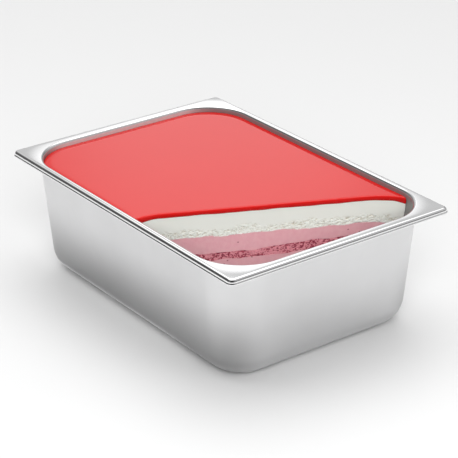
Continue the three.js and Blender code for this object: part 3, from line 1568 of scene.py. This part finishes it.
@dataclass
class Crumb(CutLayer):
    """The crumb band: cragged, with dark flecks in chains."""

    seed: int = 37
    crags: Grid = Grid(2.6, 2.0)
    crag_height: float = 0.7
    bends: Grid = Grid(4.0, 3.0)
    bend_along: float = 0.6
    bend_up: float = 0.4
    chains: Grid = Grid(3.4, 2.3)
    chain_narrowing: float = 3.2
    chain_depth: float = 0.5
    patches: Grid = Grid(7.0, 4.0, shift=5.0)
    patch_chosen: Range = (-0.75, 0.15)
    dots: Grid = Grid(2.1, 1.6)
    dot_edge: Range = (0.15, 0.5)
    dot_share: float = 0.5
    dot_strength: float = 0.8
    dot_outside: float = 0.35
    grains_from: Range = (0.35, 0.9)

    def relief(self, u: np.ndarray, z: np.ndarray) -> tuple[np.ndarray, dict[str, np.ndarray]]:
        """Gives crags, and flecks that follow their hollows.

        Args:
            u: Places along the cut.
            z: Their heights.

        Returns:
            How far the face stands out, and the marks by name.
        """
        noise = Unevenness(self.seed)
        bend = noise.waves(*self.bends.at(u, z))
        along, up = self.chains.at(u, z)
        line = noise.fractal(along + bend * self.bend_along, up + bend * self.bend_up, 3)
        chain = np.clip(1.0 - np.abs(line) * self.chain_narrowing, 0.0, 1.0)
        patch = smooth(*self.patch_chosen, noise.waves(*self.patches.at(u, z)))
        away, mark = noise.cells(*self.dots.at(u, z))
        dots = (1.0 - smooth(*self.dot_edge, away)) * (mark > self.dot_share)
        strength = self.dot_outside + (1.0 - self.dot_outside) * patch
        fleck = np.clip(chain**2 * patch + self.dot_strength * dots * strength, 0.0, 1.0)
        out = self.crag_height * noise.fractal(*self.crags.at(u, z), 3)
        out = out - self.chain_depth * chain**2 * patch
        return out, {"fleck": fleck, "grains": smooth(*self.grains_from, fleck)}


@dataclass(frozen=True)
class Grains:
    """Small flat crumbs on a cut face, strewn by Geometry Nodes where one of its marks is high."""

    name: str
    mark: str
    per_mm2: float
    smallest: float
    largest: float
    flatness: float
    seed: int
    tilt: float = 0.3
    shapes: int = 4
    core: float = 0.18
    crag: float = 0.64

    def build(self, layer: bpy.types.Object, material: bpy.types.Material) -> bpy.types.Object:
        """Strews the crumbs over a layer.

        Args:
            layer: The layer, whose mesh holds the mark.
            material: The crumbs' finish.

        Returns:
            The crumbs, as one piece of plain mesh.
        """
        given = {
            "Mark": ("NodeSocketString", self.mark),
            "Density": ("NodeSocketFloat", self.per_mm2 / MM**2),
            "Smallest": ("NodeSocketFloat", self.smallest * MM),
            "Largest": ("NodeSocketFloat", self.largest * MM),
            "Flatness": ("NodeSocketFloat", self.flatness),
            "Seed": ("NodeSocketInt", self.seed),
            "Finish": ("NodeSocketMaterial", material),
        }
        tree = self._tree({name: kind for name, (kind, _) in given.items()})
        carrier = bpy.data.objects.new(self.name, layer.data)
        bpy.context.scene.collection.objects.link(carrier)
        modifier = carrier.modifiers.new(self.name, "NODES")
        modifier.node_group = tree
        for item in tree.interface.items_tree:
            if item.name in given:
                modifier[item.identifier] = given[item.name][1]
        graph = bpy.context.evaluated_depsgraph_get()
        mesh = bpy.data.meshes.new_from_object(carrier.evaluated_get(graph))
        bpy.data.objects.remove(carrier)
        for mark in [a.name for a in mesh.attributes if a.name in layer.data.attributes.keys()]:
            if not mesh.attributes[mark].is_required and not mark.startswith("."):
                mesh.attributes.remove(mesh.attributes[mark])
        return place_mesh(self.name, mesh, 50.0)

    def _tree(self, kinds: Mapping[str, str]) -> bpy.types.NodeTree:
        """Builds the node tree.

        Args:
            kinds: The types of its inputs beside the layer, by name.

        Returns:
            The tree.
        """
        tree = bpy.data.node_groups.new(self.name, "GeometryNodeTree")
        tree.interface.new_socket("Layer", in_out="INPUT", socket_type="NodeSocketGeometry")
        for name, kind in kinds.items():
            tree.interface.new_socket(name, in_out="INPUT", socket_type=kind)
        tree.interface.new_socket("Crumbs", in_out="OUTPUT", socket_type="NodeSocketGeometry")
        bench = Bench(tree)
        source = bench.node("NodeGroupInput")

        def given(name: str) -> Wire:
            """Gives one of the tree's inputs."""
            return Wire(bench, source.outputs[name])

        mark = bench.wire(
            "GeometryNodeInputNamedAttribute", {"data_type": "FLOAT"}, {"Name": given("Mark")}
        )
        points = bench.node(
            "GeometryNodeDistributePointsOnFaces",
            {"distribute_method": "RANDOM"},
            {"Mesh": given("Layer"), "Density": given("Density") * mark, "Seed": given("Seed")},
        )
        spin = bench.wire(
            "FunctionNodeRandomValue",
            {"data_type": "FLOAT_VECTOR"},
            {
                "Min": (-self.tilt, -self.tilt, 0.0),
                "Max": (self.tilt, self.tilt, 2.0 * math.pi),
                "Seed": given("Seed"),
            },
        )
        turned = bench.wire(
            "FunctionNodeRotateRotation",
            {"rotation_space": "LOCAL"},
            {"Rotation": Wire(bench, points.outputs["Rotation"]), "Rotate By": spin},
        )
        sizes = [
            bench.wire(
                "FunctionNodeRandomValue",
                {"data_type": "FLOAT"},
                {
                    "Min_001": given("Smallest"),
                    "Max_001": given("Largest"),
                    "Seed": given("Seed") + float(7 + axis),
                },
                "Value_001",
            )
            for axis in range(3)
        ]
        scale = bench.wire(
            "ShaderNodeCombineXYZ",
            inputs={"X": sizes[0], "Y": sizes[1], "Z": sizes[2] * given("Flatness")},
        )
        strewn = bench.wire(
            "GeometryNodeInstanceOnPoints",
            inputs={
                "Points": Wire(bench, points.outputs["Points"]),
                "Instance": self._shapes(bench),
                "Pick Instance": True,
                "Rotation": turned,
                "Scale": scale,
            },
        )
        real = bench.wire("GeometryNodeRealizeInstances", inputs={"Geometry": strewn})
        done = bench.wire(
            "GeometryNodeSetMaterial", inputs={"Geometry": real, "Material": given("Finish")}
        )
        bench.node("NodeGroupOutput", inputs={"Crumbs": done})
        return tree

    def _shapes(self, bench: Bench) -> Wire:
        """Gives the few unlike lumps that the crumbs are picked from, each one unit across.

        Args:
            bench: The tree's bench.

        Returns:
            The lumps, as instances.
        """
        join = bench.node("GeometryNodeJoinGeometry")
        for number in range(self.shapes):
            corners = {f"Vertices {axis}": 3 for axis in "XYZ"}
            cube = bench.wire("GeometryNodeMeshCube", inputs={"Size": (0.8, 0.8, 0.8)} | corners)
            place = bench.wire("GeometryNodeInputPosition")
            ball = bench.wire(
                "ShaderNodeVectorMath", {"operation": "NORMALIZE"}, {"Vector": place}
            )
            craggy = bench.wire(
                "ShaderNodeTexNoise",
                {"noise_dimensions": "4D"},
                {"Vector": place, "W": 3.7 * number, "Scale": 1.3, "Detail": 1.0},
                "Fac",
            )
            lump = bench.tint(ball, self.core + craggy * self.crag)
            moved = bench.wire(
                "GeometryNodeSetPosition", inputs={"Geometry": cube, "Position": lump}
            )
            single = bench.wire("GeometryNodeGeometryToInstance", inputs={"Geometry": moved})
            bench.tree.links.new(single.socket, join.inputs["Geometry"])
        return Wire(bench, join.outputs["Geometry"])


@dataclass
class Glaze:
    """The red glaze: level on top, rounded at the cut, and sloping off towards the steel."""

    filling: Filling
    finish: RedGlaze = field(default_factory=RedGlaze)
    proud: float = 0.7
    roll: float = 2.6
    roll_steps: int = 14
    undercut: float = 0.9
    under_roll: float = 1.4
    edge_drop: float = 0.5
    edge_reach: float = 8.0
    front_share: float = 0.2
    front_run: Range = (2.0, 26.0)
    side_rings: int = 12
    lift: float = 0.02

    UNDER_INSETS = (30.0, 10.0, 4.0, 2.0)
    TOP_INSETS = (0.6, 1.2, 2.0, 3.0, 4.0, 5.0, 6.2, 7.6, 10.0, 16.0, 24.0, 34.0)

    def build(self) -> bpy.types.Object:
        """Makes the glaze and gives it its finish.

        Returns:
            The glaze.
        """
        stack = RingStack()
        for inset in self.UNDER_INSETS:
            stack.add(self._under(inset))
        for share in np.linspace(0.0, 1.0, self.side_rings):
            stack.add(self._side(float(share)))
        for step in range(1, self.roll_steps + 1):
            stack.add(self._roll(math.pi / 2 * step / self.roll_steps))
        for inset in self.TOP_INSETS:
            stack.add(self._top(inset))
        return stack.to_object("glaze_layer", self.finish.make(), 60.0)

    def _drop(self, points: np.ndarray) -> np.ndarray:
        """Gives how far the top lies lower near the walls, and less so at the cut.

        Args:
            points: Places in plan.

        Returns:
            The drop at each place.
        """
        levels = self.filling.levels
        inside = self.filling.pan.hollow(levels.glaze_top, self.filling.gap).depth(points)
        behind = self.filling.cut.measure(points)[1]
        share = self.front_share + (1.0 - self.front_share) * smooth(*self.front_run, behind)
        near = np.clip(1.0 - inside / self.edge_reach, 0.0, 1.0)
        return self.edge_drop * near**2 * share

    def _under(self, inset: float) -> np.ndarray:
        """Gives one ring of the underside.

        Args:
            inset: How far behind the cut face.

        Returns:
            The ring.
        """
        levels = self.filling.levels
        points, u = self.filling.ring(levels.glaze.height, inset * 0.5, -inset)
        z = levels.underside(Layer.GLAZE, u, np.zeros_like(u)) + self.lift
        return np.column_stack([points, z])

    def _side(self, share: float) -> np.ndarray:
        """Gives one ring of the side.

        Args:
            share: Its place, from the drawn-in underside up to where the roll starts.

        Returns:
            The ring.
        """
        levels = self.filling.levels
        low, high = levels.glaze.height, levels.glaze_top - self.roll
        rise = share * (high - low)
        under = max(0.0, 1.0 - rise / self.under_roll)
        out = self.proud - self.undercut * under**2
        points, u = self.filling.ring(low + rise, 0.0, out)
        bottom = levels.underside(Layer.GLAZE, u, np.zeros_like(u)) + self.lift
        face = high - self._drop(points) * share
        return np.column_stack([points, bottom + (face - bottom) * share])

    def _roll(self, angle: float) -> np.ndarray:
        """Gives one ring of the rounded upper edge.

        Args:
            angle: How far round, from 0 at the side to a quarter turn at the top.

        Returns:
            The ring.
        """
        levels = self.filling.levels
        out = self.proud - self.roll * (1.0 - math.cos(angle))
        height = levels.glaze_top - self.roll * (1.0 - math.sin(angle))
        points, _ = self.filling.ring(height, 0.0, out)
        return np.column_stack([points, height - self._drop(points)])

    def _top(self, inset: float) -> np.ndarray:
        """Gives one ring of the top.

        Args:
            inset: How far behind the rounded edge, and inside the walls.

        Returns:
            The ring.
        """
        levels = self.filling.levels
        behind = self.proud - self.roll - inset
        points, _ = self.filling.ring(levels.glaze_top, inset, behind)
        return np.column_stack([points, levels.glaze_top - self._drop(points)])


# ---- The studio --------------------------------------------------------------------------------


def direction(azimuth_deg: float, elevation_deg: float) -> Triple:
    """Gives the unit vector towards a place round the scene: azimuth 0 is -Y, and 90 is +X."""
    a, e = math.radians(azimuth_deg), math.radians(elevation_deg)
    return math.sin(a) * math.cos(e), -math.cos(a) * math.cos(e), math.sin(e)


@dataclass(frozen=True)
class Card:
    """A soft-edged patch of more or less light in the studio's surroundings."""

    azimuth_deg: float
    elevation_deg: float
    change: float
    inner_deg: float
    outer_deg: float


@dataclass(frozen=True)
class Lamp:
    """A round softbox that lights the scene but is not seen mirrored in it."""

    name: str
    azimuth_deg: float
    elevation_deg: float
    watts: float
    distance: float = 3.0
    across: float = 1.9
    aim_height: float = 0.1

    def build(self) -> None:
        """Hangs the lamp, turned towards the pan."""
        data = bpy.data.lights.new(self.name, "AREA")
        data.shape = "DISK"
        data.size = self.across
        data.energy = self.watts
        lamp = bpy.data.objects.new(self.name, data)
        towards = Vector(direction(self.azimuth_deg, self.elevation_deg))
        turn = towards.to_track_quat("Z", "Y").to_matrix().to_4x4()
        place = towards * self.distance + Vector((0.0, 0.0, self.aim_height))
        lamp.matrix_world = Matrix.Translation(place) @ turn
        lamp.visible_glossy = False
        bpy.context.scene.collection.objects.link(lamp)


@dataclass
class Studio:
    """The floor, the surroundings and the camera."""

    focal_px: float = 1782.85
    frame_px: float = 458.0
    sensor: float = 36.0
    azimuth_deg: float = 53.47
    elevation_deg: float = 25.06
    roll_deg: float = -0.25
    distance: float = 1686.23
    right: float = 5.65
    up: float = -48.65
    aim_height: float = 120.0
    glow: float = 0.225
    darkest: float = 0.04
    floor_half: float = 6.0
    clip: Range = (0.05, 50.0)
    cards: tuple[Card, ...] = (
        Card(245.0, 71.0, 2.05, 12.0, 42.0),
        Card(238.0, 22.0, 0.40, 10.0, 30.0),
        Card(233.8, 22.8, 0.66, 0.5, 7.5),
        Card(164.0, 46.0, 0.35, 10.0, 46.0),
        Card(53.0, 25.0, -0.19, 12.0, 45.0),
        Card(323.0, 30.0, -0.16, 10.0, 42.0),
    )
    lamps: tuple[Lamp, ...] = (
        Lamp("front_softbox", 55.0, 31.0, 61.0),
        Lamp("right_softbox", 105.0, 38.0, 11.0),
        Lamp("left_softbox", 325.0, 45.0, 13.0),
        Lamp("back_softbox", 233.0, 48.0, 6.0),
    )

    def build(self) -> None:
        """Sets up the whole studio."""
        self._floor()
        self._surroundings()
        for lamp in self.lamps:
            lamp.build()
        self._camera()
        bpy.context.scene.view_settings.view_transform = "Standard"

    def _floor(self) -> None:
        """Makes the floor."""
        mesh = bpy.data.meshes.new("floor")
        half = self.floor_half
        corners = [(-half, -half, 0.0), (half, -half, 0.0), (half, half, 0.0), (-half, half, 0.0)]
        mesh.from_pydata(corners, [], [(0, 1, 2, 3)])
        mesh.materials.append(PaleFloor().make())
        floor = bpy.data.objects.new("floor", mesh)
        bpy.context.scene.collection.objects.link(floor)

    def _surroundings(self) -> None:
        """Lights the scene from all round, evenly but for a few soft patches."""
        world = bpy.data.worlds.new("studio")
        world.use_nodes = True
        bench = Bench(world.node_tree)
        towards = bench.wire("ShaderNodeTexCoord", output="Generated")
        light = bench.wire("ShaderNodeValue")
        light.socket.default_value = self.glow
        for card in self.cards:
            middle = direction(card.azimuth_deg, card.elevation_deg)
            inputs = {"Vector": towards, "Vector_001": middle}
            facing = bench.wire(
                "ShaderNodeVectorMath", {"operation": "DOT_PRODUCT"}, inputs, "Value"
            )
            edge = math.cos(math.radians(card.outer_deg)), math.cos(math.radians(card.inner_deg))
            light = light + facing.between(*edge) * card.change
        strength = bench.math("MAXIMUM", light, self.darkest)
        shader = bench.wire(
            "ShaderNodeBackground", inputs={"Color": (1.0, 1.0, 1.0), "Strength": strength}
        )
        bench.node("ShaderNodeOutputWorld", inputs={"Surface": shader})
        bpy.context.scene.world = world

    def _camera(self) -> None:
        """Sets the camera up at the photograph's viewing angle."""
        a, r = math.radians(self.azimuth_deg), math.radians(self.roll_deg)
        back = Vector(direction(self.azimuth_deg, self.elevation_deg))
        right = Vector((math.cos(a), math.sin(a), 0.0))
        up = back.cross(right)
        place = back * self.distance + right * self.right + up * self.up
        place.z += self.aim_height
        rolled_right = right * math.cos(r) + up * math.sin(r)
        rolled_up = up * math.cos(r) - right * math.sin(r)
        data = bpy.data.cameras.new("camera")
        data.sensor_width = self.sensor
        data.lens = self.focal_px / self.frame_px * self.sensor
        data.clip_start, data.clip_end = self.clip
        camera = bpy.data.objects.new("camera", data)
        turn = Matrix((rolled_right, rolled_up, back)).transposed().to_4x4()
        camera.matrix_world = Matrix.Translation(place * MM) @ turn
        bpy.context.scene.collection.objects.link(camera)
        bpy.context.scene.camera = camera


# ---- Putting it together -----------------------------------------------------------------------


def settle(piece: bpy.types.Object, node: str) -> bpy.types.Object:
    """Hands a finished piece to the frame.

    Args:
        piece: The piece.
        node: The solid that it stands for.

    Returns:
        The piece.
    """
    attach(piece, "root")
    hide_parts(node)
    LOG.info("%s stands for %s, with %d faces", piece.name, node, len(piece.data.polygons))
    return piece


def strew(piece: bpy.types.Object) -> None:
    """Hands strewn crumbs to the frame.

    Args:
        piece: The crumbs.
    """
    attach(piece, "root")
    LOG.info("%s lies on its layer, with %d faces", piece.name, len(piece.data.polygons))


def main() -> None:
    """Builds the studio, the pan and the dessert."""
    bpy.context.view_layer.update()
    Studio().build()
    form = PanForm()
    settle(Pan(form).build(), "pan")
    filling = Filling(form, Cut(), Levels())
    settle(Glaze(filling).build(), "glaze")
    cream = Cream(filling, Layer.CREAM, Layer.GLAZE, WhiteCream(), rows=56)
    cream_layer = settle(cream.build(), "white_cream")
    bits = Grains("cream_bits", "bits", 0.30, 0.5, 1.3, 0.55, seed=5)
    strew(bits.build(cream_layer, WhiteCream("cream_bits").make()))
    mousse = Mousse(filling, Layer.MOUSSE, Layer.CREAM, PinkMousse(), rows=34)
    settle(mousse.build(), "pink_mousse")
    crumb = Crumb(filling, Layer.CRUMB, Layer.MOUSSE, RedCrumb(), rows=40)
    crumb_layer = settle(crumb.build(), "red_crumb")
    grains = Grains("crumb_grains", "grains", 0.45, 0.7, 1.9, 0.4, seed=8)
    strew(grains.build(crumb_layer, DarkGrain().make()))
    base = Base(filling, Layer.BASE, Layer.CRUMB, PinkMousse("pink_base"), rows=44)
    settle(base.build(), "pink_base")


if __name__ == "__main__":
    logging.basicConfig(level=logging.INFO, format="%(name)s: %(message)s")
    main()
